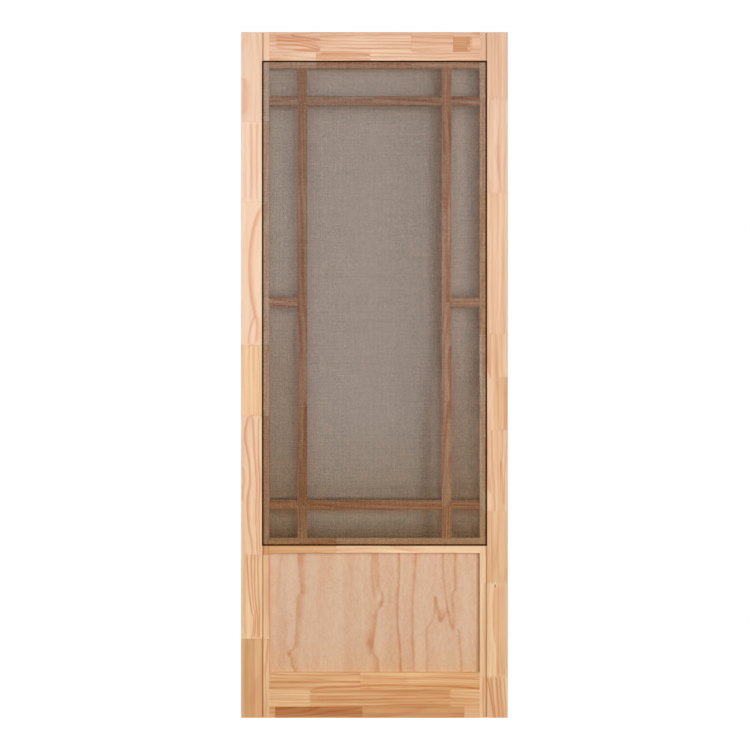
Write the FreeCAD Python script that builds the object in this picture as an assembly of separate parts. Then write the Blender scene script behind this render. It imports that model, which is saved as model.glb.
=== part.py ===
import FreeCAD, Part
import math
import os

# A wooden screen door leaf, in millimetres.
# X runs across the leaf from its hinge edge, Z runs up from its bottom edge and the front faces -Y.
# The origin is on the hinge edge, at the bottom, in the middle of the thickness.

# The leaf as a whole
LEAF_WIDTH = 800.1
LEAF_HEIGHT = 2057.4
LEAF_THICKNESS = 28.6
EDGE_ROUND = 1.5

# Stiles, rails and the kick opening, as seen from the front
STILE_WIDTH = 84.2
TOP_RAIL_HEIGHT = 107.7
MIDDLE_RAIL_HEIGHT = 43.3
BOTTOM_RAIL_HEIGHT = 136.5
KICK_OPENING_HEIGHT = 358.4

# Tenons on the rails
TENON_THICKNESS = 9.5
TENON_LENGTH = 45.0
TENON_SET_IN = 2.0
GLUE_FIT = 0.1

# Plywood kick panel, loose in a groove in the frame
PANEL_THICKNESS = 6.0
PANEL_GROOVE_DEPTH = 10.0
PANEL_SWELL_GAP = 2.0
PANEL_FIT = 0.15

# Grille of muntin bars behind the screen
MUNTIN_WIDTH = 28.6
MUNTIN_THICKNESS = 19.0
MUNTIN_INSET = 99.2
MUNTIN_SETBACK = 1.5
SHORT_BAR_LIFT = 4.0
STUB_THICKNESS = 8.0
STUB_LENGTH = 10.0
STUB_SHOULDER = 4.0

# Screen cloth and the ribbed spline that presses it into its groove
SCREEN_THICKNESS = 0.4
MESH_COLUMNS = 12
MESH_ROWS = 26
MESH_BAR = 8.0
SPLINE_SETBACK = 19.5
SPLINE_GROOVE_WIDTH = 4.6
SPLINE_GROOVE_DEPTH = 5.5
SPLINE_FIT = 0.05
SPLINE_RIBS = 12
SPLINE_RIB_HEIGHT = 0.25

# Planes that the pieces share
FRONT = -LEAF_THICKNESS / 2
BACK = LEAF_THICKNESS / 2
LEFT_SIGHT = STILE_WIDTH
RIGHT_SIGHT = LEAF_WIDTH - STILE_WIDTH
KICK_BOTTOM = BOTTOM_RAIL_HEIGHT
KICK_TOP = KICK_BOTTOM + KICK_OPENING_HEIGHT
SCREEN_BOTTOM = KICK_TOP + MIDDLE_RAIL_HEIGHT
SCREEN_TOP = LEAF_HEIGHT - TOP_RAIL_HEIGHT
MUNTIN_FRONT = FRONT + MUNTIN_SETBACK
MUNTIN_BACK = MUNTIN_FRONT + MUNTIN_THICKNESS
LAP_PLANE = (MUNTIN_FRONT + MUNTIN_BACK) / 2
GROOVE_FLOOR = FRONT + SPLINE_GROOVE_DEPTH

CUBIC_MM_PER_LITRE = 1e6


class Block:
    """A straight block, by its left, right, bottom and top and by its front and back depth."""

    def __init__(self, left, right, bottom, top, front=FRONT, back=BACK):
        self.left, self.right = left, right
        self.bottom, self.top = bottom, top
        self.front, self.back = front, back

    def solid(self):
        corner = FreeCAD.Vector(self.left, self.front, self.bottom)
        width = self.right - self.left
        depth = self.back - self.front
        return Part.makeBox(width, depth, self.top - self.bottom, corner)

    def widened(self, margin):
        """The same depths, with every edge moved out in the plane of the door."""
        return Block(
            self.left - margin,
            self.right + margin,
            self.bottom - margin,
            self.top + margin,
            self.front,
            self.back,
        )

    def between(self, front, back):
        """The same outline at other depths."""
        return Block(self.left, self.right, self.bottom, self.top, front, back)

    def fitted(self, gap):
        """The room that this block needs, with a gap on every side."""
        return self.widened(gap).between(self.front - gap, self.back + gap)

    def tenon(self, end, length, thickness, shoulder):
        """The tongue on one end of a bar, in the middle of its thickness."""
        middle = (self.front + self.back) / 2
        low, high = self.bottom + shoulder, self.top - shoulder
        near, far = self.left + shoulder, self.right - shoulder
        outlines = {
            "left": (self.left - length, self.left, low, high),
            "right": (self.right, self.right + length, low, high),
            "bottom": (near, far, self.bottom - length, self.bottom),
            "top": (near, far, self.top, self.top + length),
        }
        return Block(*outlines[end], middle - thickness / 2, middle + thickness / 2)


# The panes of the door and the bars around them
LEAF = Block(0, LEAF_WIDTH, 0, LEAF_HEIGHT)
SCREEN_OPENING = Block(LEFT_SIGHT, RIGHT_SIGHT, SCREEN_BOTTOM, SCREEN_TOP)
KICK_OPENING = Block(LEFT_SIGHT, RIGHT_SIGHT, KICK_BOTTOM, KICK_TOP)

STILES = {
    "left_stile": Block(0, LEFT_SIGHT, 0, LEAF_HEIGHT),
    "right_stile": Block(RIGHT_SIGHT, LEAF_WIDTH, 0, LEAF_HEIGHT),
}
RAILS = {
    "top_rail": Block(LEFT_SIGHT, RIGHT_SIGHT, SCREEN_TOP, LEAF_HEIGHT),
    "middle_rail": Block(LEFT_SIGHT, RIGHT_SIGHT, KICK_TOP, SCREEN_BOTTOM),
    "bottom_rail": Block(LEFT_SIGHT, RIGHT_SIGHT, 0, KICK_BOTTOM),
}


def upright_bar(centre):
    """A muntin that runs from the middle rail to the top rail."""
    half = MUNTIN_WIDTH / 2
    return Block(centre - half, centre + half, SCREEN_BOTTOM, SCREEN_TOP, MUNTIN_FRONT, MUNTIN_BACK)


def cross_bar(left, right, centre):
    """A muntin that runs across, between two edges."""
    half = MUNTIN_WIDTH / 2
    return Block(left, right, centre - half, centre + half, MUNTIN_FRONT, MUNTIN_BACK)


UPRIGHTS = {
    "left_muntin": upright_bar(LEFT_SIGHT + MUNTIN_INSET),
    "right_muntin": upright_bar(RIGHT_SIGHT - MUNTIN_INSET),
}
CROSS_BARS = {
    "top_muntin": cross_bar(LEFT_SIGHT, RIGHT_SIGHT, SCREEN_TOP - MUNTIN_INSET),
    "bottom_muntin": cross_bar(LEFT_SIGHT, RIGHT_SIGHT, SCREEN_BOTTOM + MUNTIN_INSET),
}
SHORT_BAR_HEIGHT = (SCREEN_BOTTOM + SCREEN_TOP) / 2 + SHORT_BAR_LIFT
SHORT_BARS = {
    "left_short_muntin": cross_bar(LEFT_SIGHT, UPRIGHTS["left_muntin"].left, SHORT_BAR_HEIGHT),
    "right_short_muntin": cross_bar(UPRIGHTS["right_muntin"].right, RIGHT_SIGHT, SHORT_BAR_HEIGHT),
}


def rail_tenons(rail):
    """The two tenons of a rail, clear of the panel groove along its edge."""
    shoulder = PANEL_GROOVE_DEPTH + TENON_SET_IN
    return [rail.tenon(end, TENON_LENGTH, TENON_THICKNESS, shoulder) for end in ("left", "right")]


def stub_tenons(bar, *ends):
    """The short tenons of a muntin bar."""
    return [bar.tenon(end, STUB_LENGTH, STUB_THICKNESS, STUB_SHOULDER) for end in ends]


def with_tenons(solid, tenons):
    return solid.fuse([tenon.solid() for tenon in tenons]).removeSplitter()


def mortises(tenons):
    """The room that a member leaves for the tenons that it receives."""
    return [tenon.fitted(GLUE_FIT).solid() for tenon in tenons]


def eased_leaf():
    """The outside of the leaf, with the long edges of both faces rounded over."""
    solid = LEAF.solid()
    face_edges = [edge for edge in solid.Edges if abs(abs(edge.CenterOfMass.y) - BACK) < EDGE_ROUND]
    return solid.makeFillet(EDGE_ROUND, face_edges)


def spline_grooves():
    """Grooves in the front of the frame: full height in the stiles, and across between those."""
    half = SPLINE_GROOVE_WIDTH / 2
    centre = SCREEN_OPENING.widened(SPLINE_SETBACK)
    upright = [Block(x - half, x + half, 0, LEAF_HEIGHT) for x in (centre.left, centre.right)]
    across = [Block(centre.left, centre.right, z - half, z + half) for z in (centre.bottom, centre.top)]
    return [groove.between(FRONT, GROOVE_FLOOR).solid() for groove in upright + across]


def panel_groove():
    """One slab that cuts the groove for the kick panel into the frame all round."""
    half = PANEL_THICKNESS / 2 + PANEL_FIT
    return KICK_OPENING.widened(PANEL_GROOVE_DEPTH).between(-half, half).solid()


def frame_members():
    """Stiles and rails, with tenons, mortises, grooves and eased outer edges."""
    outside = eased_leaf()
    grooves = spline_grooves() + [panel_groove()]
    into_stiles = []
    for rail in RAILS.values():
        into_stiles += rail_tenons(rail)
    for bar in list(CROSS_BARS.values()) + list(SHORT_BARS.values()):
        into_stiles += stub_tenons(bar, "left", "right")
    into_rails = []
    for bar in UPRIGHTS.values():
        into_rails += stub_tenons(bar, "bottom", "top")
    members = {}
    for name, stile in STILES.items():
        members[name] = stile.solid().common(outside).cut(grooves + mortises(into_stiles))
    for name, rail in RAILS.items():
        body = rail.solid().common(outside).cut(grooves + mortises(into_rails))
        members[name] = with_tenons(body, rail_tenons(rail))
    return members


def kick_panel():
    reach = PANEL_GROOVE_DEPTH - PANEL_SWELL_GAP
    half = PANEL_THICKNESS / 2
    return KICK_OPENING.widened(reach).between(-half, half).solid()


def muntins():
    """The grille: uprights lapped over the cross bars, and short bars let into the uprights."""
    over = [bar.widened(GLUE_FIT).between(LAP_PLANE, MUNTIN_BACK).solid() for bar in CROSS_BARS.values()]
    under = [bar.widened(GLUE_FIT).between(MUNTIN_FRONT, LAP_PLANE).solid() for bar in UPRIGHTS.values()]
    into_uprights = []
    for bar in SHORT_BARS.values():
        into_uprights += stub_tenons(bar, "left", "right")
    bars = {}
    for name, bar in UPRIGHTS.items():
        body = bar.solid().cut(over + mortises(into_uprights))
        bars[name] = with_tenons(body, stub_tenons(bar, "bottom", "top"))
    for name, bar in CROSS_BARS.items():
        body = bar.solid().cut(under)
        bars[name] = with_tenons(body, stub_tenons(bar, "left", "right"))
    for name, bar in SHORT_BARS.items():
        bars[name] = with_tenons(bar.solid(), stub_tenons(bar, "left", "right"))
    return bars


def mesh_holes():
    """A plain grid of holes over the opening, far coarser than the weave, so that the grille shows through."""
    across = (SCREEN_OPENING.right - SCREEN_OPENING.left) / MESH_COLUMNS
    up = (SCREEN_OPENING.top - SCREEN_OPENING.bottom) / MESH_ROWS
    cell = Block(LEFT_SIGHT, LEFT_SIGHT + across, SCREEN_BOTTOM, SCREEN_BOTTOM + up)
    through = cell.widened(-MESH_BAR / 2).between(FRONT - 2 * SCREEN_THICKNESS, FRONT + SCREEN_THICKNESS)
    holes = []
    for column in range(MESH_COLUMNS):
        for row in range(MESH_ROWS):
            holes.append(through.solid().translated(FreeCAD.Vector(column * across, 0, row * up)))
    return holes


def screen_mesh():
    """The cloth: flat over the opening and the strips, then down one wall of the groove and up the other."""
    outer = SCREEN_OPENING.widened(SPLINE_SETBACK + SPLINE_GROOVE_WIDTH / 2)
    inner = SCREEN_OPENING.widened(SPLINE_SETBACK - SPLINE_GROOVE_WIDTH / 2)
    room_floor = GROOVE_FLOOR - SCREEN_THICKNESS
    bend = inner.widened(SCREEN_THICKNESS)
    groove = outer.between(FRONT, GROOVE_FLOOR).solid().cut(inner.solid())
    room = outer.widened(-SCREEN_THICKNESS).between(FRONT, room_floor).solid().cut(bend.solid())
    flat = bend.between(FRONT - SCREEN_THICKNESS, FRONT).solid()
    return groove.cut(room).fuse(flat).removeSplitter().cut(mesh_holes())


def spline_radius():
    return SPLINE_GROOVE_WIDTH / 2 - SCREEN_THICKNESS - SPLINE_FIT


def spline_length(length):
    """A straight length of ribbed round spline that stands on the origin."""
    crest = spline_radius()
    points = []
    for step in range(2 * SPLINE_RIBS):
        radius = crest - SPLINE_RIB_HEIGHT * (step % 2)
        angle = math.pi * step / SPLINE_RIBS
        points.append(FreeCAD.Vector(radius * math.cos(angle), radius * math.sin(angle), 0))
    section = Part.Face(Part.makePolygon(points + points[:1]))
    return section.extrude(FreeCAD.Vector(0, 0, length))


def splines():
    """Four lengths: full height at the sides, and butted between those along the rails."""
    depth = GROOVE_FLOOR - SCREEN_THICKNESS - SPLINE_FIT - spline_radius()
    centre = SCREEN_OPENING.widened(SPLINE_SETBACK)
    ends = centre.widened(spline_radius())
    butts = centre.widened(-spline_radius() - SPLINE_FIT)
    lengths = {}
    for name, x in (("left_spline", centre.left), ("right_spline", centre.right)):
        lengths[name] = spline_length(ends.top - ends.bottom)
        lengths[name].Placement.Base = FreeCAD.Vector(x, depth, ends.bottom)
    for name, z in (("bottom_spline", centre.bottom), ("top_spline", centre.top)):
        lengths[name] = spline_length(butts.right - butts.left)
        lengths[name].Placement.Rotation = FreeCAD.Rotation(FreeCAD.Vector(0, 1, 0), 90)
        lengths[name].Placement.Base = FreeCAD.Vector(butts.left, depth, z)
    return lengths


pieces = frame_members()
pieces["kick_panel"] = kick_panel()
pieces.update(muntins())
pieces["screen_mesh"] = screen_mesh()
pieces.update(splines())

os.makedirs("parts", exist_ok=True)
for name, shape in pieces.items():
    shape.exportStep("parts/" + name + ".step")
    print(name, "solids", len(shape.Solids), "litres", round(shape.Volume / CUBIC_MM_PER_LITRE, 4))
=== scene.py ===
import math
import random

import bmesh
import bpy
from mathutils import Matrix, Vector


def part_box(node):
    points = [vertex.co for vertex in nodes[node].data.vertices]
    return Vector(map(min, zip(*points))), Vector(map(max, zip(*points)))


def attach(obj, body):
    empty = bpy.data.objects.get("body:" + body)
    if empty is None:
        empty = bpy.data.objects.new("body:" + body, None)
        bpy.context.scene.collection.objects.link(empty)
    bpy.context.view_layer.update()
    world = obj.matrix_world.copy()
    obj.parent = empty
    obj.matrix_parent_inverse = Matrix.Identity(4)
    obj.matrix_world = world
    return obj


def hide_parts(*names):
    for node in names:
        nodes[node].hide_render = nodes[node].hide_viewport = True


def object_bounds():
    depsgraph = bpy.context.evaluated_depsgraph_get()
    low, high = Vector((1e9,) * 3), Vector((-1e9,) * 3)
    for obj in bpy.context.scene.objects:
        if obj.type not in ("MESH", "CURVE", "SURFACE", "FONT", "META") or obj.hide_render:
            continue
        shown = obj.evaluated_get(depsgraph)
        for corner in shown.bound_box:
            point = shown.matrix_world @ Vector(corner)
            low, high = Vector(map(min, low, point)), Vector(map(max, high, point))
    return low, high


# %% [markdown]
# A wooden screen door
#
# The door is a bare leaf of finger-jointed pine. Insect cloth is stretched over the upper opening and
# pressed into a groove by a dark spline, a grille of thin bars stands just behind the cloth, and a sheet
# of plywood closes the lower opening. The wooden pieces already exist as solids, so this lesson dresses
# them: it gives each board its own wood, and lays the cloth out of real threads.

# %% Load the solids
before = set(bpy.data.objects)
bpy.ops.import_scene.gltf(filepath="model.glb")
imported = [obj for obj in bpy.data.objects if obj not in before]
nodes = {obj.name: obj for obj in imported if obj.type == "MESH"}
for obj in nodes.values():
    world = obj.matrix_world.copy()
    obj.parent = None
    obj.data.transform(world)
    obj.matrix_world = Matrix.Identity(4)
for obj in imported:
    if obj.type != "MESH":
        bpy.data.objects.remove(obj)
cad_low, cad_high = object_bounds()
print("solids", sorted(nodes))

# %% [markdown]
# Where things are
#
# Every place in this script is in metres, in the same frame as the solids: X across the door from its left
# edge, Z up, and the front towards -Y. The boxes of a few solids give the lines that the looks need. Of the
# door's sizes, only the width of the groove round the cloth is written again, because no box gives it.

# %% Lines of the door
stile_low, stile_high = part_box("left_stile")
cloth_low, cloth_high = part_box("screen_mesh")
FRONT = stile_low.y
BACK = stile_high.y
WIDTH = cad_high.x
HEIGHT = cad_high.z
MIDDLE = Vector((WIDTH / 2, FRONT, HEIGHT / 2))
GROOVE = 0.0046
print("front plane", round(FRONT, 4), "width", round(WIDTH, 4), "height", round(HEIGHT, 4))

# %% [markdown]
# Camera
#
# The door is seen square on from five and a half metres, with the eye level with its middle. The lens
# follows from that distance: the square picture takes in two and a quarter metres at the door's front.

# %% Make the camera
EYE_DISTANCE = 5.5
FIELD = 2.25
SENSOR_MM = 36.0
EYE_TO_RIGHT = 0.0015

camera = bpy.data.objects.new("camera", bpy.data.cameras.new("camera"))
camera.data.sensor_width = SENSOR_MM
camera.data.lens = SENSOR_MM * EYE_DISTANCE / FIELD
camera.location = MIDDLE + Vector((EYE_TO_RIGHT, -EYE_DISTANCE, 0))
camera.rotation_euler = (math.radians(90), 0, 0)
bpy.context.collection.objects.link(camera)
bpy.context.scene.camera = camera
bpy.context.scene.view_settings.view_transform = "Standard"
print("lens", camera.data.lens)

# %% [markdown]
# Shader sums
#
# A material is a tree of nodes, and most of a wood grain is arithmetic: distances, waves and masks. Building
# that tree node by node hides the sums, so one small class wraps a socket and lets Python's signs add the
# Math nodes. Any other node comes from its one method, which sets the node first and then feeds its sockets.


# %% A wire that can be added and multiplied
class Wire:
    """A value, colour or vector inside one material."""

    def __init__(self, tree, socket=None):
        self.tree = tree
        self.socket = socket

    def node(self, kind, settings=None, inputs=None, output=0):
        """Adds a node, sets it, feeds its sockets and gives back one of its outputs."""
        made = self.tree.nodes.new("ShaderNode" + kind)
        for key, value in (settings or {}).items():
            if key == "curve":
                line = made.mapping.curves[0].points
                line[0].location, line[1].location = value[0], value[-1]
                for point in value[1:-1]:
                    line.new(*point)
                made.mapping.update()
            else:
                setattr(made, key, value)
        for key, value in (inputs or {}).items():
            if isinstance(value, Wire):
                self.tree.links.new(value.socket, made.inputs[key])
            else:
                made.inputs[key].default_value = value
        return Wire(self.tree, made.outputs[output]) if made.outputs else None

    def math(self, operation, *others):
        return self.node("Math", {"operation": operation}, dict(enumerate((self, *others))))

    def __add__(self, other):
        return self.math("ADD", other)

    def __sub__(self, other):
        return self.math("SUBTRACT", other)

    def __rsub__(self, other):
        return self.node("Math", {"operation": "SUBTRACT"}, {0: other, 1: self})

    def __mul__(self, other):
        return self.math("MULTIPLY", other)

    def __truediv__(self, other):
        return self.math("DIVIDE", other)

    def __gt__(self, other):
        return self.math("GREATER_THAN", other)

    def __lt__(self, other):
        return self.math("LESS_THAN", other)

    __radd__ = __add__
    __rmul__ = __mul__

    def smooth(self, low, high):
        """Rises gently from 0 at low to 1 at high."""
        settings = {"interpolation_type": "SMOOTHSTEP"}
        return self.node("MapRange", settings, {"Value": self, "From Min": low, "From Max": high})

    def bell(self):
        """1 where this wire is 0, and less the further it is from 0 either way."""
        return (self * self * -1).math("EXPONENT")

    def parts(self):
        """The three numbers of a vector."""
        made = self.node("SeparateXYZ", None, {"Vector": self})
        return [Wire(self.tree, socket) for socket in made.socket.node.outputs]

    def noise(self, scales, detail=2.0, rough=0.5):
        """Cloudy values about 0, drawn out along the axis with the smallest scale."""
        stretched = self.node("VectorMath", {"operation": "MULTIPLY"}, {0: self, 1: scales})
        inputs = {"Vector": stretched, "Scale": 1.0, "Detail": detail, "Roughness": rough}
        return self.node("TexNoise", None, inputs) - 0.5

    def chance(self, seed):
        """Three even random numbers that stay the same wherever this wire keeps its value."""
        settings = {"noise_dimensions": "1D"}
        return self.node("TexWhiteNoise", settings, {"W": self + seed}, "Color").parts()

    def blend(self, first, second):
        """Goes from one colour to another as this wire goes from 0 to 1."""
        return self.node("Mix", {"data_type": "RGBA"}, {0: self, 6: first, 7: second}, 2)

    def tint(self, colour, by):
        """The colour multiplied by another, as far as this wire says."""
        settings = {"data_type": "RGBA", "blend_type": "MULTIPLY"}
        return self.node("Mix", settings, {0: self, 6: colour, 7: by}, 2)


# %% Helpers for colours and materials
def paint(red, green, blue):
    """A colour as it looks on screen, from 0 to 255, in the linear numbers that shaders use."""

    def linear(value):
        share = value / 255
        return share / 12.92 if share <= 0.04045 else ((share + 0.055) / 1.055) ** 2.4

    return (linear(red), linear(green), linear(blue), 1.0)


def new_material(name):
    """An empty material, and the place on the object that its textures read."""
    material = bpy.data.materials.new(name)
    material.use_nodes = True
    material.node_tree.nodes.clear()
    root = Wire(material.node_tree)
    return material, root, root.node("TexCoord", output="Object")


def close(root, surface):
    root.node("OutputMaterial", None, {"Surface": surface})


def dress(piece, material):
    """Gives a whole piece one material."""
    piece.data.materials.clear()
    piece.data.materials.append(material)


print("white paint is", paint(255, 255, 255))

# %% [markdown]
# Pine, block by block
#
# The boards are finger-jointed: short blocks from different trees are glued end to end, and some boards are
# also glued edge to edge from narrow strips. One pattern over the whole board would look printed. So the
# material first finds which block a point lies in, by counting the joints that it has passed, and everything
# that follows is drawn afresh from that number.

# %% Find the block
FINGER_LENGTH = 0.009
FINGER_PITCH = 0.007
GLUE_LINE = 0.0012
BLOCKS_PER_STRIP = 20


def block_map(along, across, depth, strips):
    """Gives a point's block number, a mask of its glue lines, and its block's tone, resin and figure.

    strips goes from the low edge of the board to the high one. Each strip has the line where it ends, the
    side where its fingers show, and its blocks: where each starts, its tone, how resinous it is and how
    lively its figure is. A tone of 1 is pale sapwood, 0 is deep pine and -1 is heartwood.
    """
    number, glue = along * 0, along * 0
    traits = [along * 0, along * 0, along * 0]
    start = -1.0
    for index, (end, fingers, blocks) in enumerate(strips):
        teeth = across if fingers == "face" else depth - FRONT + FINGER_PITCH / 4
        zigzag = teeth.math("PINGPONG", FINGER_PITCH / 2) * (2 * FINGER_LENGTH / FINGER_PITCH)
        place = along + zigzag - FINGER_LENGTH / 2
        inside = (across > start) * (across < end)
        number = number + inside * (BLOCKS_PER_STRIP * index)
        traits = [trait + inside * value for trait, value in zip(traits, blocks[0][1:])]
        for before, after in zip(blocks, blocks[1:]):
            passed = (place > after[0]) * inside
            number = number + passed
            steps = [now - then for now, then in zip(after[1:], before[1:])]
            traits = [trait + passed * step for trait, step in zip(traits, steps)]
            glue = glue + ((place - after[0]).math("ABSOLUTE") < GLUE_LINE / 2) * inside
        start = end
    return number, glue, *traits


# %% [markdown]
# Growth rings
#
# A board's figure is where its faces cut the rings of a tree, so the rings are made solid: the distance from
# a pith that lies beside the block, bent by slow noise because no tree grows straight. A face along the pith
# then shows long lines and arches, and an end shows arcs. Each ring darkens slowly towards its late wood and
# ends sharply, and a knot pushes the rings round itself.

# %% Draw the rings
PITH_SPREAD = 0.12
PITH_DEPTH = (0.03, 0.07)
PITH_TILT = 0.07
SLOW_BENDS = (8, 3)
QUICK_BENDS = (45, 12)
QUICK_SHARE = 0.12
KNOT_PUSH = 1.3
RING_RANGE = (0.65, 0.7)
RINGS_AWAY = 40
DARKENING = (0.30, 0.86)
RING_END = (0.89, 1.0)
PALE_STRETCHES = (35, 6)


def nearness(along, across, spot):
    """1 at the heart of a knot or a patch, falling to 0 around it."""
    reach = [(along - spot[0]) / spot[2], (across - spot[1]) / spot[3]]
    return reach[0].bell() * reach[1].bell()


def late_wood(place, along, across, depth, block, middle, scales, ring, sway, knots, seed):
    """A mask of the dark late wood of each ring."""
    first, second = block.chance(seed), block.chance(seed + 7.3)
    side = (first[0] - 0.5).math("SIGN")
    pith_across = (first[1] - 0.5) * PITH_SPREAD + middle
    pith_depth = side * (first[2] * PITH_DEPTH[1] + PITH_DEPTH[0])
    off_across, off_depth = across - pith_across, depth - pith_depth
    radius = (off_across * off_across + off_depth * off_depth).math("SQRT")
    radius = radius + along * ((second[0] - 0.5) * PITH_TILT)
    radius = radius + place.noise(scales(*SLOW_BENDS)) * sway
    radius = radius + place.noise(scales(*QUICK_BENDS)) * (sway * QUICK_SHARE)
    for spot in knots:
        radius = radius + nearness(along, across, spot) * (spot[3] * KNOT_PUSH)
    rings = radius / ((second[1] * RING_RANGE[1] + RING_RANGE[0]) * ring) + second[2] * RINGS_AWAY
    strength = rings.math("FLOOR").chance(seed + 11.7)[0]
    sweep = rings.math("FRACT")
    band = sweep.smooth(*DARKENING) * (1 - sweep.smooth(*RING_END))
    fade = place.noise(scales(*PALE_STRETCHES)) * 1.6 + 0.9
    return band * (strength * 0.6 + 0.4) * fade


# %% [markdown]
# Bold streaks
#
# A board is known by a few bold streaks where the saw ran along a ring. Chance never puts those in the right
# place, so each is drawn as a curve through a few points, with its own softness on each side: a streak is
# sharp where the late wood ends and feathered where it began.

# %% Draw one streak
FADE = 0.05
MARGIN = 0.001


def streak_mask(across, along, line, low_side, high_side, strength):
    """A streak along a line of (along, across) points, with its own softness on each side."""
    low, high = line[0][0], line[-1][0]
    near = min(spot[1] for spot in line) - MARGIN
    far = max(spot[1] for spot in line) + MARGIN
    points = [((spot[0] - low) / (high - low), (spot[1] - near) / (far - near)) for spot in line]
    reach = (along - low) / (high - low)
    centre = reach.node("FloatCurve", {"curve": points}, {"Value": reach}) * (far - near) + near
    away = across - centre
    width = (away > 0) * (high_side - low_side) + low_side
    fade = reach.smooth(-FADE, FADE) * (1 - reach.smooth(1 - FADE, 1 + FADE))
    return (away / width).bell() * fade * strength


# %% [markdown]
# Planed pine
#
# Bare pine has no finish, so it is matt, and its colour is what the tree gave it: a tone for the block, slow
# drifts along the tree, streaks and fine fibres, and the late wood over all of them. Light and shade are
# painted over that: a warm cast towards the foot of the door, a cool shade behind the cloth, and shade along
# the edges of the groove, on the edges of the cross bars and on faces set back behind the front. The ends of
# a board drink light, so they are darker too.

# %% Mix the pine
PALE_PINE = paint(253, 223, 199)
DEEP_PINE = paint(220, 169, 132)
HEARTWOOD = paint(183, 120, 76)
LATE_WOOD = (0.82, 0.56, 0.45, 1.0)
RESIN = (1.0, 0.93, 0.76, 1.0)
WARM_FOOT_CAST = (1.0, 0.97, 0.77, 1.0)
RECESS_SHADE = (0.72, 0.60, 0.52, 1.0)
GLUE = (0.74, 0.62, 0.52, 1.0)
KNOT = paint(150, 100, 66)
CLOTH_SHADE = (0.91, 0.99, 1.05, 1.0)
EDGE_SHADE_TINT = (0.5, 0.45, 0.4, 1.0)
EDGE_SHADE_WIDTH = 0.004
GROOVE_SHADE = (0.62, 0.46, 0.32, 1.0)
GROOVE_SHADE_REACH = (0.0014, 0.0004)
END_GRAIN = (0.74, 0.66, 0.58, 1.0)
END_FACE = (0.6, 0.8)
FRONT_FACE = (-0.5, -0.8)
RECESS_SHADE_DEPTH = (0.002, 0.004)
DULL = 0.13
MATT = 0.68
FIBRE_BUMP = 0.12
FIBRE_DEPTH = 0.0006
PLAIN = (1.0, 1.0, 1.0)
WARM_CAST_BELOW = 1.3
WAVES = (50, 25)
WAVE_SIZE = 0.002
DRIFTS = (14, 2.5)
BANDS = (110, 2.0)
FIBRES = (420, 7)
DASHES = (170, 14)


def from_groove(x, z):
    """How far a point lies outside the middle of the groove round the cloth. It is below 0 inside."""
    centre, half = (cloth_low + cloth_high) / 2, (cloth_high - cloth_low) / 2
    beside = (x - centre.x).math("ABSOLUTE") - (half.x - GROOVE / 2)
    above = (z - centre.z).math("ABSOLUTE") - (half.z - GROOVE / 2)
    return beside.math("MAXIMUM", above)


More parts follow.
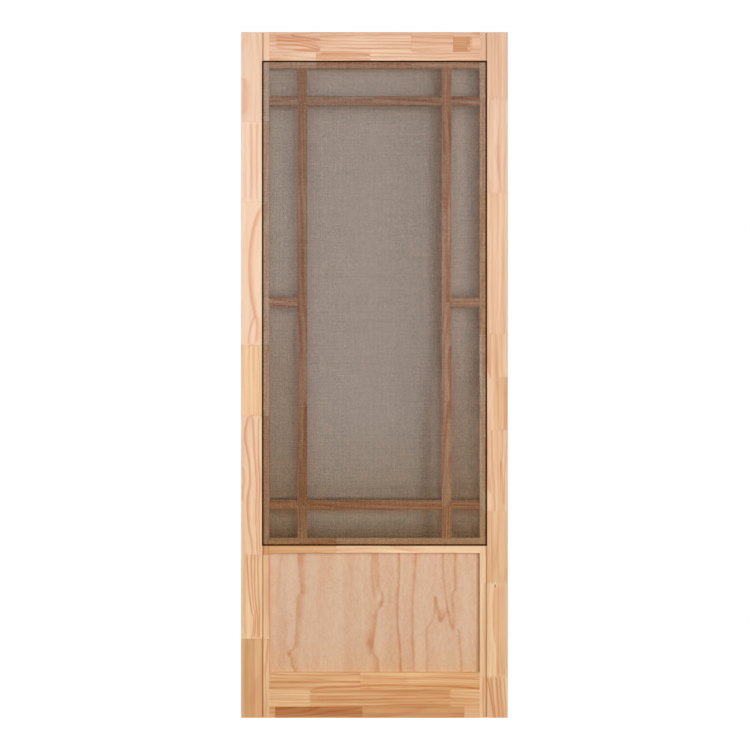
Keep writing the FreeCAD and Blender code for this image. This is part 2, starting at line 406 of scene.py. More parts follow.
def pine(name, grain, strips, seed, ring=0.008, sway=0.02, streaks=(), knots=(), wash=PLAIN, edge_shade=0.0):
    """Bare planed pine. grain is the fibres' axis, X or Z, and wash tints the whole board. The last argument
    sets how strongly painted shade darkens the board's long edges.
    """
    material, root, place = new_material(name)
    x, y, z = place.parts()
    along, across = (z, x) if grain == "Z" else (x, z)

    def scales(wide, long):
        """Textures of this board are drawn out along its grain."""
        return (wide, wide, long) if grain == "Z" else (long, wide, wide)

    def washed(colour):
        return (*[part * by for part, by in zip(colour, wash)], 1.0)

    block, glue, tone, resin, figure = block_map(along, across, y, strips)
    low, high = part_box(name)
    middle = (low.x + high.x) / 2 if grain == "Z" else (low.z + high.z) / 2
    half = high.z - middle
    own = block.node("CombineXYZ", None, {"X": block * 3.7 + seed, "Y": block * 1.3, "Z": block * 2.1})
    own = place.node("VectorMath", {"operation": "ADD"}, {0: place, 1: own})
    late = late_wood(own, along, across, y, block, middle, scales, ring, sway, knots, seed) * figure
    wavy = across + place.noise(scales(*WAVES)) * WAVE_SIZE
    for line, low_side, high_side, strength in streaks:
        late = late + streak_mask(wavy, along, line, low_side, high_side, strength)

    drift = own.noise(scales(*DRIFTS))
    bands = own.noise(scales(*BANDS))
    fibre = own.noise(scales(*FIBRES), 3.0, 0.6)
    shade = tone + (drift * 1.3 + bands * 1.4) * (figure * 0.6 + 0.4) + fibre * 0.7
    colour = (shade + 1).blend(washed(HEARTWOOD), shade.blend(washed(DEEP_PINE), washed(PALE_PINE)))
    dashes = own.noise(scales(*DASHES)).smooth(0.08, 0.3)
    colour = (late + dashes * figure * 0.5).tint(colour, LATE_WOOD)
    colour = resin.tint(colour, RESIN)
    colour = (glue * 0.4).tint(colour, GLUE)
    for spot in knots:
        colour = (nearness(along, across, spot).smooth(0.25, 0.9) * 0.8).blend(colour, KNOT)
    # Painted light: a warm cast that grows towards the foot of the door.
    colour = z.smooth(WARM_CAST_BELOW, 0.0).tint(colour, WARM_FOOT_CAST)
    past = from_groove(x, z)
    # Painted shade: wood behind the cloth is tinted cooler, as if shaded by the cloth.
    colour = (past < 0).tint(colour, CLOTH_SHADE)
    # Painted shade: a dark band along both edges of the groove round the cloth.
    groove_shade_mask = past.math("ABSOLUTE").smooth(*[GROOVE / 2 + reach for reach in GROOVE_SHADE_REACH])
    colour = groove_shade_mask.tint(colour, GROOVE_SHADE)
    # Painted shade: a dark line along the long edges of a cross bar.
    if edge_shade:
        edge_shade_mask = (across - middle).math("ABSOLUTE").smooth(half - EDGE_SHADE_WIDTH, half)
        colour = (edge_shade_mask * edge_shade).tint(colour, EDGE_SHADE_TINT)
    facing = root.node("TexCoord", output="Normal").parts()
    end_face = facing[2 if grain == "Z" else 0].math("ABSOLUTE").smooth(*END_FACE)
    colour = end_face.tint(colour, END_GRAIN)
    # Painted shade: front faces that lie a few millimetres behind the front, such as the groove floor, are
    # darker.
    recess_shade_mask = (y - FRONT).smooth(*RECESS_SHADE_DEPTH) * facing[1].smooth(*FRONT_FACE)
    colour = recess_shade_mask.tint(colour, RECESS_SHADE)

    height = late * 0.4 + fibre * 0.8
    bump = root.node("Bump", None, {"Height": height, "Strength": FIBRE_BUMP, "Distance": FIBRE_DEPTH})
    rough = MATT - late * 0.1 + fibre * 0.15
    inputs = {"Base Color": colour, "Roughness": rough, "Normal": bump, "Specular IOR Level": DULL}
    close(root, root.node("BsdfPrincipled", None, inputs))
    return material


# %% [markdown]
# The boards
#
# Each board gets its own list of blocks. The stiles are long blocks, and the wide rails are laid up from
# narrow strips, of which the last takes the rest of the board. Most of the fingers run through the
# thickness, so a joint is a straight line on the front, and a few show there as teeth. The bars behind the
# cloth are each a cut of their own colour.

# %% Dress the stiles
REST = 9.0
left_blocks = [
    (0.0648, "edge_shade_mask", [
        (0, 0.22, 0, 0.5), (0.237, 0.84, 0, 0.3), (0.489, 0.80, 0, 0.3), (0.906, 0.74, 0.85, 0.5),
        (1.119, 1.05, 0.15, 0.3), (1.548, 1.02, 0, 0.3), (1.789, 0.77, 0, 0.4)]),
    (REST, "edge_shade_mask", [
        (0, 0.58, 0, 0.8), (0.237, 0.66, 0, 0.5), (0.489, 0.02, 0, 0.8), (0.906, 0.30, 0.3, 0.8),
        (1.119, 0.72, 0.2, 0.8), (1.548, 0.60, 0.2, 0.8), (1.789, 0.72, 0, 0.4)]),
]
right_blocks = [
    (0.7354, "face", [
        (0, 0.84, 0, 0.8), (0.123, 0.66, 0, 0.4), (0.405, 0.94, 0, 0.4), (0.52, 0.26, 0.7, 0.8),
        (0.621, 0.52, 0.2, 0.8), (1.152, 0.10, 1.0, 0.8), (1.575, 0.28, 0.2, 0.8), (1.857, 0.36, 0, 0.4)]),
    (0.750, "face", [
        (0, 0.60, 0, 0.4), (0.123, 0.76, 0, 0.3), (0.405, 0.50, 0.3, 0.6), (0.621, 0.66, 0.3, 0.6),
        (1.152, 0.58, 0.4, 0.4), (1.575, 0.58, 0.1, 0.5), (1.857, 0.40, 0, 0.4)]),
    (0.774, "face", [
        (0, 0.60, 0, 0.4), (0.123, 0.72, 0, 0.3), (0.405, 0.42, 0.2, 0.6), (0.621, 0.66, 0.3, 0.6),
        (0.864, 0.56, 0.5, 0.6), (1.152, 0.60, 0.4, 0.4), (1.575, 0.56, 0, 0.5), (1.857, 0.42, 0, 0.4)]),
    (REST, "face", [
        (0, 0.60, 0, 0.4), (0.123, 0.72, 0, 0.3), (0.405, 0.42, 0.2, 0.6), (0.621, 0.64, 0.3, 0.6),
        (0.864, 0.48, 0.5, 0.6), (1.023, 0.62, 0.5, 0.6), (1.152, 0.60, 0.4, 0.4), (1.575, 0.58, 0, 0.5),
        (1.857, 0.44, 0, 0.4)]),
]

# %% Streaks of the stiles
left_streaks = [
    ([(0.24, 0.0315), (0.288, 0.0366), (0.318, 0.0315), (0.369, 0.0237), (0.433, 0.0195), (0.489, 0.0165)],
     0.0015, 0.003, 1.2),
    ([(0.24, 0.0378), (0.297, 0.042), (0.339, 0.0357), (0.412, 0.0315), (0.489, 0.0294)],
     0.0015, 0.003, 1.1),
    ([(0.24, 0.045), (0.283, 0.0486), (0.327, 0.045), (0.39, 0.0399), (0.489, 0.0399)], 0.0015, 0.003, 1.1),
    ([(0.24, 0.0528), (0.306, 0.0537), (0.39, 0.0507), (0.489, 0.0495)], 0.0015, 0.003, 1.1),
    ([(0.25, 0.012), (0.369, 0.0078), (0.489, 0.009)], 0.003, 0.006, 0.4),
    ([(0.24, 0.081), (0.40, 0.0835), (0.489, 0.0825)], 0.004, 0.003, 0.7),
    ([(0.489, 0.033), (0.534, 0.0285), (0.557, 0.024), (0.60, 0.0198), (0.639, 0.0177), (0.677, 0.021),
      (0.716, 0.0255), (0.759, 0.0234), (0.81, 0.0156), (0.849, 0.0105), (0.879, 0.0135), (0.906, 0.0264)],
     0.002, 0.006, 0.85),
    ([(0.489, 0.047), (0.534, 0.0456), (0.621, 0.0435), (0.686, 0.0456), (0.741, 0.0435), (0.793, 0.039),
      (0.849, 0.0369), (0.906, 0.0306)], 0.002, 0.005, 0.75),
    ([(0.489, 0.056), (0.534, 0.0546), (0.621, 0.0534), (0.708, 0.0549), (0.793, 0.051), (0.858, 0.051),
      (0.906, 0.0564)], 0.002, 0.0045, 0.85),
    ([(0.65, 0.004), (0.687, 0.0048), (0.708, 0.009), (0.75, 0.0039)], 0.003, 0.004, 0.5),
    ([(1.122, 0.038), (1.147, 0.0456), (1.181, 0.0465), (1.211, 0.040), (1.254, 0.0315), (1.318, 0.025),
      (1.383, 0.025), (1.447, 0.0315), (1.49, 0.042), (1.53, 0.057)], 0.004, 0.009, 0.75),
    ([(1.122, 0.021), (1.151, 0.0228), (1.185, 0.0315), (1.205, 0.038)], 0.002, 0.005, 0.6),
    ([(1.555, 0.028), (1.66, 0.0295), (1.785, 0.0285)], 0.003, 0.006, 0.6),
    ([(1.555, 0.0495), (1.65, 0.047), (1.785, 0.049)], 0.004, 0.003, 0.6),
    ([(1.555, 0.0126), (1.785, 0.012)], 0.003, 0.004, 0.3),
    ([(1.81, 0.004), (1.866, 0.014), (1.92, 0.004)], 0.012, 0.009, 0.34),
]
right_streaks = [
    ([(0.0, 0.7584), (0.12, 0.7389)], 0.002, 0.005, 1.0),
    ([(0.0, 0.7626), (0.12, 0.7497)], 0.002, 0.004, 0.8),
    ([(0.0, 0.7734), (0.12, 0.7647)], 0.002, 0.005, 1.0),
    ([(0.0, 0.7839), (0.12, 0.7755)], 0.002, 0.004, 0.8),
    ([(0.0, 0.7947), (0.12, 0.7884)], 0.002, 0.003, 0.8),
    ([(0.0, 0.728), (0.06, 0.7255), (0.12, 0.7265)], 0.002, 0.003, 0.6),
    ([(0.126, 0.7668), (0.202, 0.7659), (0.262, 0.7575), (0.339, 0.756), (0.396, 0.7614)],
     0.0015, 0.03, 0.6),
    ([(0.643, 0.7854), (0.707, 0.783), (0.771, 0.7768)], 0.0025, 0.005, 0.5),
    ([(1.58, 0.779), (1.66, 0.772), (1.72, 0.770)], 0.002, 0.004, 0.4),
]
right_knots = [(0.396, 0.762, 0.006, 0.003)]
dress(nodes["left_stile"], pine("left_stile", "Z", left_blocks, 1.0, ring=0.012, sway=0.035,
                                streaks=left_streaks))
# The right stile's wash is painted shade: it darkens and greys the whole board a little.
dress(nodes["right_stile"], pine("right_stile", "Z", right_blocks, 2.0, ring=0.010, sway=0.025,
                                 streaks=right_streaks, knots=right_knots, wash=(0.965, 0.98, 0.995)))
print("streaks of the stiles", len(left_streaks) + len(right_streaks))

# %% Dress the rails
rails = {
    "top_rail": [
        (1.9692, "edge_shade_mask", [(0, 0.46, 0, 0.8), (0.225, -0.34, 0, 0.8), (0.510, -0.18, 0, 0.8)]),
        (1.998, "edge_shade_mask", [(0, 0.46, 0, 0.8), (0.225, 0.50, 0.1, 0.9), (0.387, 0.68, 0, 0.9)]),
        (2.044, "edge_shade_mask", [
            (0, 0.44, 0, 0.6), (0.237, 0.62, 0, 0.9), (0.510, 0.46, 0, 0.8), (0.636, -0.28, 0, 0.6),
            (0.678, -0.10, 0, 0.6), (0.686, 0.12, 0, 0.6), (0.693, 0.40, 0, 0.8)]),
        (REST, "edge_shade_mask", [
            (0, 0.52, 0, 0.9), (0.237, 0.44, 0, 0.8), (0.510, 0.32, 0, 0.8), (0.636, 0.42, 0, 0.8)]),
    ],
    "middle_rail": [
        (0.5187, "edge_shade_mask", [(0, 0.18, 0.5, 0.9), (0.285, 0.94, 0, 0.9)]),
        (REST, "edge_shade_mask", [(0, -0.2, 0.7, 0.9), (0.285, -0.02, 0.1, 0.9)]),
    ],
    "bottom_rail": [
        (0.034, "edge_shade_mask", [
            (0, 0.2, 0, 0.9), (0.102, -0.65, 0, 0.9), (0.363, -0.2, 0, 0.7), (0.669, 0.33, 0, 0.7)]),
        (0.085, "face", [(0, 0.62, 0.1, 0.9), (0.207, 0.12, 0.2, 1.2), (0.627, 0.52, 0.2, 0.9)]),
        (REST, "edge_shade_mask", [(0, 0.42, 0.4, 1.0), (0.357, 0.42, 0.5, 0.9)]),
    ],
}
rail_streaks = {
    "top_rail": [
        ([(0.105, 2.042), (0.1467, 2.0384), (0.2337, 2.0219)], 0.0018, 0.004, 0.6),
        ([(0.15, 2.0459), (0.2352, 2.0333)], 0.0018, 0.004, 0.9),
        ([(0.105, 2.0333), (0.1917, 2.0234), (0.2352, 2.0108)], 0.0018, 0.0045, 0.9),
        ([(0.105, 2.021), (0.1878, 2.0147), (0.2328, 2.0021)], 0.0018, 0.0045, 1.0),
        ([(0.105, 2.0099), (0.1767, 2.0024), (0.2307, 1.9994)], 0.0018, 0.004, 0.6),
        ([(0.125, 1.987), (0.2247, 1.9784)], 0.0015, 0.003, 0.4),
        ([(0.24, 1.9905), (0.30, 1.9935), (0.385, 1.9895)], 0.0025, 0.005, 0.6),
        ([(0.51, 2.006), (0.60, 2.009), (0.636, 2.011)], 0.0015, 0.003, 0.5),
    ],
    "middle_rail": [],
    "bottom_rail": [
        ([(0.2139, 0.0848), (0.2745, 0.0908), (0.3348, 0.0923), (0.4014, 0.0956), (0.4917, 0.0956),
          (0.5967, 0.0941), (0.71, 0.086)], 0.0015, 0.0045, 1.0),
        ([(0.36, 0.1175), (0.48, 0.1165), (0.585, 0.1195), (0.71, 0.115)], 0.0015, 0.0035, 0.6),
        ([(0.09, 0.1075), (0.20, 0.1095), (0.36, 0.1065)], 0.0015, 0.003, 0.6),
        ([(0.11, 0.0275), (0.24, 0.0305), (0.36, 0.027)], 0.001, 0.002, 0.6),
        ([(0.36, 0.111), (0.50, 0.111)], 0.02, 0.02, 0.25),
    ],
}
for index, (name, strips) in enumerate(rails.items()):
    dress(nodes[name], pine(name, "X", strips, 4.0 + index, ring=0.007, sway=0.012,
                            streaks=rail_streaks[name]))
print("rails dressed", len(rails))

# %% Dress the bars
bars = {
    "left_muntin": ("Z", [
        (0, 0.00, 0.6, 1.6), (0.64, -0.18, 0.7, 1.6), (0.78, -0.06, 0.5, 1.6), (0.95, 0.12, 0.3, 1.6),
        (1.1, 0.18, 0.1, 1.6), (1.6, 0.06, 0, 1.6), (1.85, -0.16, 0, 1.6)], (1.03, 0.98, 1.0)),
    "right_muntin": ("Z", [
        (0, 0.32, 0.4, 1.6), (0.64, 0.64, 0.3, 1.6), (1.25, 0.32, 0.2, 1.6), (1.7, 0.12, 0, 1.6)],
        (1.12, 0.98, 0.90)),
    "top_muntin": ("X", [(0, 0.64, 0, 1.6), (0.185, 0.28, 0, 1.6), (0.4, 0.30, 0, 1.6)], (1.0, 0.97, 1.02)),
    "bottom_muntin": ("X", [
        (0, 0.22, 0, 1.6), (0.185, 0.01, 0, 1.6), (0.625, 0.04, 0, 1.6)], (1.06, 0.83, 0.66)),
    "left_short_muntin": ("X", [(0, 0.66, 0, 1.6)], (1.12, 0.97, 0.91)),
    "right_short_muntin": ("X", [(0, 0.46, 0, 1.6)], (1.12, 0.97, 0.88)),
}
nail = (1.509, 0.183, 0.004, 0.003)
CROSS_EDGE_SHADE = 0.9
for index, (name, (grain, blocks, wash)) in enumerate(bars.items()):
    knots = [nail] if name == "left_muntin" else []
    dress(nodes[name], pine(name, grain, [(REST, "edge_shade_mask", blocks)], 11.0 + index, ring=0.006, sway=0.012,
                            knots=knots, wash=wash, edge_shade=CROSS_EDGE_SHADE if grain == "X" else 0.0))
print("bars dressed", len(bars))

# %% [markdown]
# Plywood face
#
# The kick panel's face is a veneer peeled from a log like paper from a roll. Its figure is broad and flows
# up the sheet, in feathered streaks that are sharp on one side, where the knife ran along a ring. A few of
# them give the sheet its character, so they are drawn one by one, soft patches join them, and noise fills in
# the faint mottle between. Painted shade darkens the sheet along its top and its right edge, where the rail
# and the stile shade it, and a painted warm cast yellows its foot.

# %% Streaks of the veneer
STREAKS = [
    ([(0.335, 0.106), (0.378, 0.112), (0.434, 0.118), (0.51, 0.1225)], 0.008, 0.002, 0.22),
    ([(0.372, 0.178), (0.434, 0.1745), (0.476, 0.170), (0.51, 0.169)], 0.002, 0.015, 0.5),
    ([(0.12, 0.161), (0.139, 0.1587), (0.156, 0.150), (0.178, 0.146), (0.190, 0.1395), (0.207, 0.1545),
      (0.2245, 0.1617), (0.28, 0.165), (0.348, 0.1673), (0.372, 0.1745)], 0.002, 0.014, 0.5),
    ([(0.36, 0.398), (0.412, 0.3925), (0.51, 0.391)], 0.0025, 0.007, 0.4),
    ([(0.12, 0.4135), (0.165, 0.4126), (0.186, 0.402), (0.216, 0.3955), (0.2415, 0.3998), (0.28, 0.404),
      (0.314, 0.4084), (0.34, 0.4233), (0.361, 0.4276), (0.382, 0.419), (0.434, 0.4135), (0.51, 0.4105)],
     0.013, 0.002, 0.5),
    ([(0.12, 0.452), (0.22, 0.4446), (0.263, 0.4468), (0.335, 0.4404), (0.40, 0.442)], 0.002, 0.012, 0.06),
    ([(0.12, 0.482), (0.139, 0.4809), (0.186, 0.4788), (0.2415, 0.4745), (0.284, 0.4702), (0.348, 0.4702),
      (0.412, 0.4745), (0.51, 0.4745)], 0.006, 0.002, 0.7),
    ([(0.12, 0.519), (0.139, 0.5184), (0.22, 0.516), (0.3055, 0.514), (0.3695, 0.516), (0.434, 0.5214),
      (0.51, 0.5257)], 0.0045, 0.0035, 0.42),
    ([(0.12, 0.558), (0.22, 0.5568), (0.254, 0.5556), (0.28, 0.5662), (0.31, 0.579), (0.361, 0.584)],
     0.003, 0.0055, 0.45),
    ([(0.286, 0.598), (0.3226, 0.5918), (0.361, 0.584)], 0.0055, 0.0035, 0.45),
    ([(0.286, 0.598), (0.301, 0.6068), (0.318, 0.6153)], 0.0045, 0.005, 0.4),
    ([(0.267, 0.6345), (0.297, 0.626), (0.34, 0.6174), (0.382, 0.6132), (0.434, 0.608), (0.51, 0.6068)],
     0.005, 0.003, 0.55),
    ([(0.267, 0.6345), (0.284, 0.6366), (0.327, 0.6353), (0.365, 0.6324), (0.387, 0.641), (0.434, 0.642),
      (0.51, 0.643)], 0.003, 0.0055, 0.45),
    ([(0.12, 0.667), (0.139, 0.6644), (0.1775, 0.660), (0.22, 0.6567), (0.258, 0.6537), (0.267, 0.6345)],
     0.0045, 0.003, 0.45),
    ([(0.43, 0.676), (0.51, 0.677)], 0.003, 0.003, 0.25),
]
PATCHES = [
    (0.478, 0.186, 0.030, 0.011, 0.35), (0.191, 0.145, 0.007, 0.006, 0.45),
    (0.341, 0.419, 0.010, 0.005, 0.5), (0.363, 0.415, 0.012, 0.006, -0.5),
    (0.228, 0.381, 0.035, 0.016, 0.4), (0.155, 0.404, 0.025, 0.010, 0.35),
    (0.306, 0.603, 0.022, 0.014, 0.45), (0.41, 0.146, 0.09, 0.018, -0.3),
]

# %% Veneer of the kick panel
VENEER = paint(229, 196, 169)
VENEER_STREAK = paint(209, 151, 114)
VENEER_SPECK = (0.9, 0.86, 0.78, 1.0)
VENEER_WARM_CAST = (1.0, 0.96, 0.84, 1.0)
VENEER_SHADE = (0.70, 0.63, 0.54, 1.0)
PANEL_SHADE_REACH = (0.013, 0.003)
PANEL_TOP_SHADE = 0.45
FOOT_OF_PANEL = (0.26, 0.12)
FLOW = (10, 1, 24)
FLOW_SIZE = 0.006
RIPPLES = (60, 1, 130)
RIPPLE_SIZE = 0.003
BROAD = (26, 0, 2.5)
MOTTLE = (130, 130, 50)
VENEER_FIBRES = (600, 600, 14)
BREAKS = (30, 1, 16)
SPECKS = (300, 300, 140)
PEEL_BUMP = 0.2
PEEL_DEPTH = 0.0005


def veneer(name):
    material, root, place = new_material(name)
    x, _, z = place.parts()
    wavy = x + place.noise(FLOW, 3.0) * FLOW_SIZE + place.noise(RIPPLES, 2.0) * RIPPLE_SIZE
    broad = root.node("CombineXYZ", None, {"X": wavy, "Z": z}).noise(BROAD, 3.0)
    mottle = place.noise(MOTTLE, 3.0, 0.6)
    fibre = place.noise(VENEER_FIBRES, 3.0, 0.6)
    marks = broad * 0.9 + mottle * 0.8 + fibre * 0.25 + 0.2
    drawn = x * 0
    for line, left, right, strength in STREAKS:
        drawn = drawn + streak_mask(wavy, z, line, left, right, strength)
    for spot in PATCHES:
        drawn = drawn + nearness(z, wavy, spot) * spot[4]
    marks = marks + drawn * (place.noise(BREAKS, 3.0) * 1.6 + 1)
    colour = marks.blend(VENEER, VENEER_STREAK)
    colour = (place.noise(SPECKS, 2.0) * 3.6).tint(colour, VENEER_SPECK)
    # Painted light: a warm cast towards the foot of the panel.
    colour = z.smooth(*FOOT_OF_PANEL).tint(colour, VENEER_WARM_CAST)
    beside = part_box("right_stile")[0].x - x
    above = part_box("middle_rail")[0].z - z
    # Painted shade from the right stile and the middle rail, along the panel's right and top edges.
    colour = beside.smooth(*PANEL_SHADE_REACH).tint(colour, VENEER_SHADE)
    colour = (above.smooth(*PANEL_SHADE_REACH) * PANEL_TOP_SHADE).tint(colour, VENEER_SHADE)
    bump = root.node("Bump", None, {"Height": fibre, "Strength": PEEL_BUMP, "Distance": PEEL_DEPTH})
    rough = 0.66 + fibre * 0.2
    inputs = {"Base Color": colour, "Roughness": rough, "Normal": bump, "Specular IOR Level": DULL}
    close(root, root.node("BsdfPrincipled", None, inputs))
    return material


dress(nodes["kick_panel"], veneer("plywood_veneer"))
print("streaks in the veneer", len(STREAKS))

# %% [markdown]
# The insect cloth
#
# A screen looks flat and smoky from afar because its threads are finer than the eye resolves. A see-through
# sheet would give the same grey, but it would be nothing from close up. So the cloth is made of real
# threads. One thread is bent from a curve with its ends tucked round the groove, and a spin with no turn
# copies it from one side of the door to the other. The cross threads lie in a layer of their own in front of
# the upright ones, because the over and under of a weave is too fine to be seen.

# %% Bend one thread
THREAD = 0.00023
CLEARANCE = 0.00005
TUCK = THREAD + CLEARANCE
GROOVE_FLOOR = cloth_high.y
SHORT_OF_FACE = 0.0006
MOUTH = FRONT + SHORT_OF_FACE


def bent_thread(start, end, level):
    """One thread from groove to groove: down the near wall, along the floor and up the far wall."""
    way = (end - start).normalized()
    points = []
    for corner, outward in ((start, -way), (end, way)):
        near = corner + outward * TUCK
        far = corner + outward * (GROOVE - TUCK)
        stops = [(near, level), (near, GROOVE_FLOOR - TUCK), (far, GROOVE_FLOOR - TUCK), (far, MOUTH)]
        tucked = [Vector((spot.x, depth, spot.z)) for spot, depth in stops]
        points += tucked if points else tucked[::-1]
    curve = bpy.data.curves.new("thread", "CURVE")
    curve.dimensions = "3D"
    curve.bevel_depth = THREAD
    curve.bevel_resolution = 0
    curve.use_fill_caps = True
    route = curve.splines.new("POLY")
    route.points.add(len(points) - 1)
    for point, spot in zip(route.points, points):
        point.co = (*spot, 1)
    holder = bpy.data.objects.new("thread", curve)
    mesh = bpy.data.meshes.new_from_object(holder)
    bpy.data.objects.remove(holder)
    bpy.data.curves.remove(curve)
    return mesh


# %% Lay threads side by side
UPRIGHT_PITCH = 0.00141
CROSS_PITCH = 0.00159
SLIP = 0.00025
CROSSING = 2.2


def lay(threads, one, across, pitch, seed):
    """Adds copies of one thread along the vector across, each a little out of true."""
    made = bmesh.new()
    made.from_mesh(one)
    bmesh.ops.remove_doubles(made, verts=made.verts, dist=THREAD / 50)
    per_thread = len(made.verts)
    count = int(across.length / pitch)
    step = across / count
    bmesh.ops.spin(made, geom=[*made.verts, *made.edges, *made.faces], cent=(0, 0, 0), axis=(0, 1, 0),
                   dvec=step, angle=0, steps=count, use_duplicate=True)
    draw = random.Random(seed)
    slips = [step.normalized() * draw.uniform(-SLIP, SLIP) for copy in range(count + 1)]
    for index, vertex in enumerate(made.verts):
        vertex.co += slips[index // per_thread]
    laid = bpy.data.meshes.new("laid")
    made.to_mesh(laid)
    made.free()
    threads.from_mesh(laid)
    bpy.data.meshes.remove(laid)
    return count + 1


left, right = cloth_low.x + GROOVE, cloth_high.x - GROOVE
low, high = cloth_low.z + GROOVE, cloth_high.z - GROOVE
corner = Vector((left, 0, low))
up, over = Vector((0, 0, high - low)), Vector((right - left, 0, 0))
threads = bmesh.new()
upright = bent_thread(corner, corner + up, FRONT - THREAD)
upright_count = lay(threads, upright, over, UPRIGHT_PITCH, seed=5)
crosswise = bent_thread(corner, corner + over, FRONT - CROSSING * THREAD)
cross_count = lay(threads, crosswise, up, CROSS_PITCH, seed=6)
cloth_mesh = bpy.data.meshes.new("screen_cloth")
threads.to_mesh(cloth_mesh)
threads.free()
cloth_mesh.shade_smooth()
print("threads", upright_count, "by", cross_count, "faces", len(cloth_mesh.polygons))

# %% [markdown]
# Where the cloth belongs
#
# The cloth was cut a little larger than the opening, because each edge is pushed down into the groove,
# across its floor and up again. Its flat size is the span between the grooves and those folds.

# %% Seat the cloth
cloth = bpy.data.objects.new("screen_cloth", cloth_mesh)
bpy.context.collection.objects.link(cloth)
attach(cloth, "root")
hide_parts("screen_mesh")

# %% [markdown]
# Coat of the threads
#
# The threads are coated glass fibre in a bronze brown. From afar the cloth isn't even: some threads lie
# closer or took more colour than their neighbours, which gives faint lines both ways, like linen. Towards
# the foot of the door a painted warm cast yellows the threads, and in the groove they are darker.

# %% Bronze coat
BRONZE_DARK = paint(76, 60, 51)
BRONZE_LIGHT = paint(180, 147, 129)
BRONZE_WARM_CAST = (1.0, 0.88, 0.60, 1.0)
IN_GROOVE = (0.4, 0.3, 0.2, 1.0)
COAT_GLOSS = 0.19
UPRIGHT_LINES = (300, 300, 25)
CROSS_LINES = (25, 300, 300)
CLOUDS = (220, 220, 220)
FOOT_OF_CLOTH = (1.1, 0.5)
LIP = 0.001


def bronze_coat(name):
    material, root, place = new_material(name)
    lines = place.noise(UPRIGHT_LINES, 1.0) + place.noise(CROSS_LINES, 1.0)
    cloudy = place.noise(CLOUDS, 2.0, 0.6)
    colour = (lines * 0.8 + cloudy * 2.2 + 0.5).blend(BRONZE_DARK, BRONZE_LIGHT)
    _, y, z = place.parts()
    # Painted light: a warm cast on the threads towards the foot of the cloth.
    colour = z.smooth(*FOOT_OF_CLOTH).tint(colour, BRONZE_WARM_CAST)
    colour = (y - FRONT).smooth(0.0, LIP).tint(colour, IN_GROOVE)
    rough = 0.6 + cloudy * 0.3
    inputs = {"Base Color": colour, "Roughness": rough, "Specular IOR Level": COAT_GLOSS}
    close(root, root.node("BsdfPrincipled", None, inputs))
    return material


dress(cloth, bronze_coat("bronze_coat"))
print("coat on", cloth.name)

# %% [markdown]
# Spline
#
# The spline is a soft ribbed cord of dark vinyl. Its ribs are in the solid, so it only needs a colour with a
# dull shine and a little dust.

# %% Vinyl of the spline
VINYL_DARK = paint(38, 20, 6)
VINYL_DUSTY = paint(64, 38, 14)
VINYL_GLOSS = 0.03
DUST = (180, 180, 180)


def vinyl(name):
    material, root, place = new_material(name)
    dust = place.noise(DUST, 3.0)
    colour = (dust + 0.35).blend(VINYL_DARK, VINYL_DUSTY)
    rough = 0.7 + dust * 0.3
    inputs = {"Base Color": colour, "Roughness": rough, "Specular IOR Level": VINYL_GLOSS}
    close(root, root.node("BsdfPrincipled", None, inputs))
    return material


spline_vinyl = vinyl("spline_vinyl")
for side in ("left", "right", "top", "bottom"):
    dress(nodes[side + "_spline"], spline_vinyl)
print("vinyl on the splines", spline_vinyl.users)

# %% [markdown]
# Stage
#
# A pale floor carries the door, and a wall stands close behind it, because the soft shadows of the bars fall
# on that wall and show through the cloth. Only the part of the wall behind the door takes light, and around
# it the wall is plain white. From behind, the wall is see-through, so the back of the door can be looked at.

# %% Lay the floor
STAGE_SIZE = 14.0
FLOOR_WHITE = (0.85, 0.85, 0.85, 1.0)
FLOOR_DIM = (0.42, 0.35, 0.28, 1.0)
WHITE = (1.0, 1.0, 1.0, 1.0)
FLOOR_GLOW = 0.8


def stage_plane(name, width, depth):
    """A flat square in the middle of the stage."""
    made = bmesh.new()
    bmesh.ops.create_grid(made, x_segments=1, y_segments=1, size=0.5)
    bmesh.ops.scale(made, vec=(width, depth, 1), verts=made.verts)
    mesh = bpy.data.meshes.new(name)
    made.to_mesh(mesh)
    made.free()
    plane = bpy.data.objects.new(name, mesh)
    bpy.context.collection.objects.link(plane)
    return plane


def seen(root):
    """1 for rays from the eye, straight, mirrored or through glass."""
    names = ("Is Camera Ray", "Is Glossy Ray", "Is Transmission Ray")
    rays = [root.node("LightPath", output=name) for name in names]
    return (rays[0] + rays[1] + rays[2]).math("MINIMUM", 1.0)


def floor_paint(name):
    material, root, _ = new_material(name)
    matt = root.node("BsdfDiffuse", None, {"Color": FLOOR_WHITE})
    glow = root.node("Emission", None, {"Color": WHITE, "Strength": FLOOR_GLOW})
    lifted = root.node("AddShader", None, {0: matt, 1: glow})
    dim = root.node("BsdfDiffuse", None, {"Color": FLOOR_DIM})
    close(root, root.node("MixShader", None, {0: seen(root), 1: dim, 2: lifted}))
    return material


floor = stage_plane("floor", STAGE_SIZE, STAGE_SIZE)
dress(floor, floor_paint("floor_paint"))
print("floor", STAGE_SIZE, "metres wide")

# %% [markdown]
# Shades on the wall
#
# A wall close behind a door is darker beside each bar, where less light gets past. The lamps alone leave
# these shades too faint, so the paint deepens them. Each is a product of soft ramps across the wall and up
# it, and tints the paint. One table of them keeps the sums short.

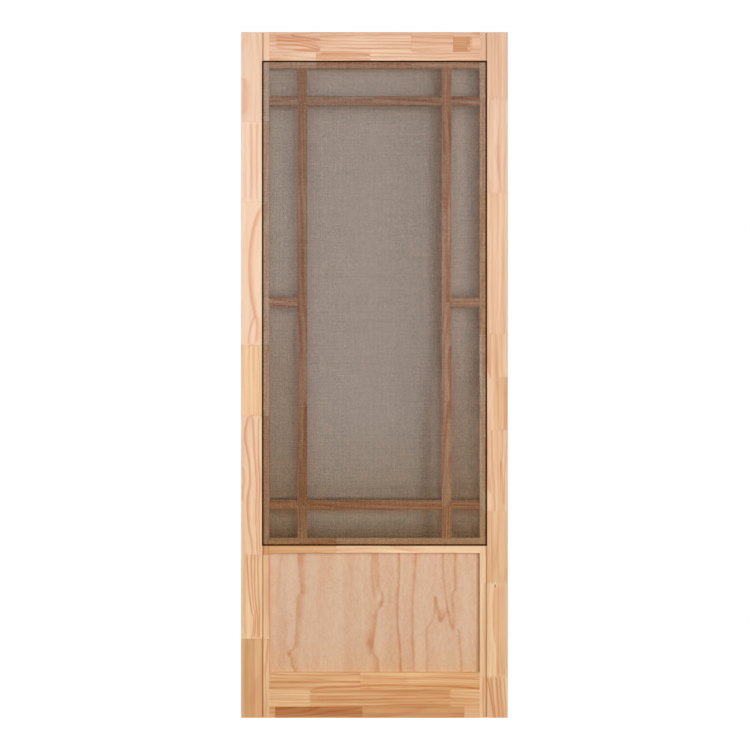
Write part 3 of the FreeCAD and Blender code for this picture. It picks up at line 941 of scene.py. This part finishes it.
# %% List the shades
WALL_UPPER = (0.965, 0.93, 0.875, 1.0)
WALL_LOWER = (0.72, 0.66, 0.53, 1.0)
WALL_SIDES = (0.88, 0.81, 0.73, 1.0)
WALL_BELOW_BAR = (1.0, 0.93, 0.76, 1.0)
WALL_GRAIN = (0.91, 0.91, 0.91, 1.0)
GRAIN_SCALES = (290, 290, 290)
WALL_FADE = (0.5, 0.95)
LOW_SIDES = (1.35, 0.95)
DEEP_SHADE = (0.58, 0.58, 0.58, 1.0)
BAR_SHADE = (0.70, 0.68, 0.66, 1.0)
SIDE_PANES = (0.19, 0.22)
LEFT_OF_BAR = (0.625, 0.615)
OVER_BAR = (0.63, 0.64)
BELOW_BAR = [(0.595, 0.615), (0.64, 0.63)]
TOP_SHADE = 1.848
TOP_REACH = (0.06, 0.02)
SHORT_SHADE = 1.247
SHORT_REACH = (0.06, 0.015)
MIDDLE_SHADE = ([(0.38, 0.60), LEFT_OF_BAR], [], 1.0, (0.80, 0.80, 0.80, 1.0))
BAR_SHADES = [
    ([], [(0.72, 0.675), OVER_BAR], 0.5, BAR_SHADE),
    ([], [(0.662, 0.652), OVER_BAR], 1.0, (0.45, 0.42, 0.40, 1.0)),
    ([(0.55, 0.595), LEFT_OF_BAR], [(0.9, 1.1)], 1.0, BAR_SHADE),
    ([(0.52, 0.56), (0.588, 0.558)], [(1.15, 0.85)], 1.0, BAR_SHADE),
    ([(0.655, 0.72)], [(0.85, 1.05)], 1.0, DEEP_SHADE),
    ([(0.62, 0.64)], [(1.1, 0.9), (0.63, 0.68)], 0.4, BAR_SHADE),
    ([], [(1.80, 1.90)], 1.0, (0.93, 0.93, 0.93, 1.0)),
    ([], [(0.60, 0.53)], 1.0, (0.40, 0.36, 0.30, 1.0)),
]


def shaded(colour, x, z, across, upwards, strength, tint):
    """The colour under one soft shade. A ramp across or upwards goes from no shade to full shade."""
    ramps = [x.smooth(*ramp) for ramp in across] + [z.smooth(*ramp) for ramp in upwards]
    return math.prod(ramps, start=strength).tint(colour, tint)


print("shades in the table", len(BAR_SHADES))

# %% Paint the wall
WALL_BEHIND = 0.038
WALL_HEIGHT = 4.0
HIDDEN = (0.015, 0.045)


def wall_paint(name):
    material, root, place = new_material(name)
    x, _, z = place.parts()
    behind = x.smooth(*HIDDEN) * (WIDTH - x).smooth(*HIDDEN) * (HEIGHT - z).smooth(*HIDDEN)
    # Painted shade: the wall darkens towards its foot, and more in the side panes low down.
    colour = z.smooth(*WALL_FADE).blend(WALL_LOWER, WALL_UPPER)
    sides = (x - WIDTH / 2).math("ABSOLUTE").smooth(*SIDE_PANES)
    colour = (sides * z.smooth(*LOW_SIDES)).tint(colour, WALL_SIDES)
    colour = shaded(colour, x, z, *MIDDLE_SHADE)
    # Painted light: the middle pane is lighter just below the bottom bar.
    below = z.smooth(*BELOW_BAR[0]) * z.smooth(*BELOW_BAR[1]) * (1 - sides)
    colour = (below * 0.6).blend(colour, WALL_BELOW_BAR)
    for shade in BAR_SHADES:
        colour = shaded(colour, x, z, *shade)
    beside = (z - SHORT_SHADE).math("ABSOLUTE").smooth(*SHORT_REACH) * ((z > SHORT_SHADE) * 0.5 + 0.3)
    colour = (sides * beside).tint(colour, DEEP_SHADE)
    colour = ((z - TOP_SHADE).math("ABSOLUTE").smooth(*TOP_REACH) * 0.4).tint(colour, BAR_SHADE)
    colour = (place.noise(GRAIN_SCALES, 2.0, 0.6) * 4 + 0.2).tint(colour, WALL_GRAIN)
    matt = root.node("BsdfDiffuse", None, {"Color": colour})
    glow = root.node("Emission", None, {"Color": WHITE, "Strength": 1.0})
    front = root.node("MixShader", None, {0: behind, 1: glow, 2: matt})
    back = root.node("NewGeometry", output="Backfacing")
    close(root, root.node("MixShader", None, {0: back, 1: front, 2: root.node("BsdfTransparent")}))
    return material


wall = stage_plane("wall", STAGE_SIZE, WALL_HEIGHT)
for vertex in wall.data.vertices:
    vertex.co = (vertex.co.x + WIDTH / 2, BACK + WALL_BEHIND, vertex.co.y + WALL_HEIGHT / 2)
dress(wall, wall_paint("wall_paint"))
for ray in ("diffuse", "glossy", "transmission", "shadow"):
    setattr(wall, "visible_" + ray, False)
print("wall at", BACK + WALL_BEHIND)

# %% [markdown]
# Light
#
# The light comes from the front, mostly from a large soft lamp on the right, a little below the middle of
# the door, so the bars cast their shadows to the left. A weaker lamp fills in from the left, one behind
# shows the back of the door, and the sky fills in the rest. The eye and reflections see the sky and the
# floor as white, while the light that they give stays low.

# %% Lamps
WARM = (1.0, 0.97, 0.92)


def lamp(name, turn, distance, height, size, watts, tint):
    """A square soft lamp that looks at the middle of the door. turn is to the right of the front."""
    data = bpy.data.lights.new(name, "AREA")
    data.size = size
    data.energy = watts
    data.color = tint
    made = bpy.data.objects.new(name, data)
    turn = math.radians(turn)
    made.location = Vector((MIDDLE.x + math.sin(turn) * distance, -math.cos(turn) * distance, height))
    made.rotation_euler = (made.location - MIDDLE).to_track_quat("Z", "Y").to_euler()
    made.visible_camera = False
    bpy.context.collection.objects.link(made)


lamp("key", turn=20, distance=6.0, height=0.75, size=4.2, watts=305, tint=WARM)
lamp("fill", turn=-12, distance=6.0, height=0.9, size=5.0, watts=190, tint=PLAIN)
lamp("back_light", turn=180, distance=5.0, height=1.03, size=3.0, watts=70, tint=PLAIN)
print("lamps", len(bpy.data.lights))

# %% Sky
SKY = 0.13
SKY_TINT = (0.92, 0.98, 1.0, 1.0)
sky = bpy.data.worlds.new("sky")
sky.use_nodes = True
sky.node_tree.nodes.clear()
root = Wire(sky.node_tree)
dim = root.node("Background", None, {"Color": SKY_TINT, "Strength": SKY})
white = root.node("Background", None, {"Color": WHITE, "Strength": 1.0})
root.node("OutputWorld", None, {"Surface": root.node("MixShader", None, {0: seen(root), 1: dim, 2: white})})
bpy.context.scene.world = sky
print("strength of the sky", SKY)
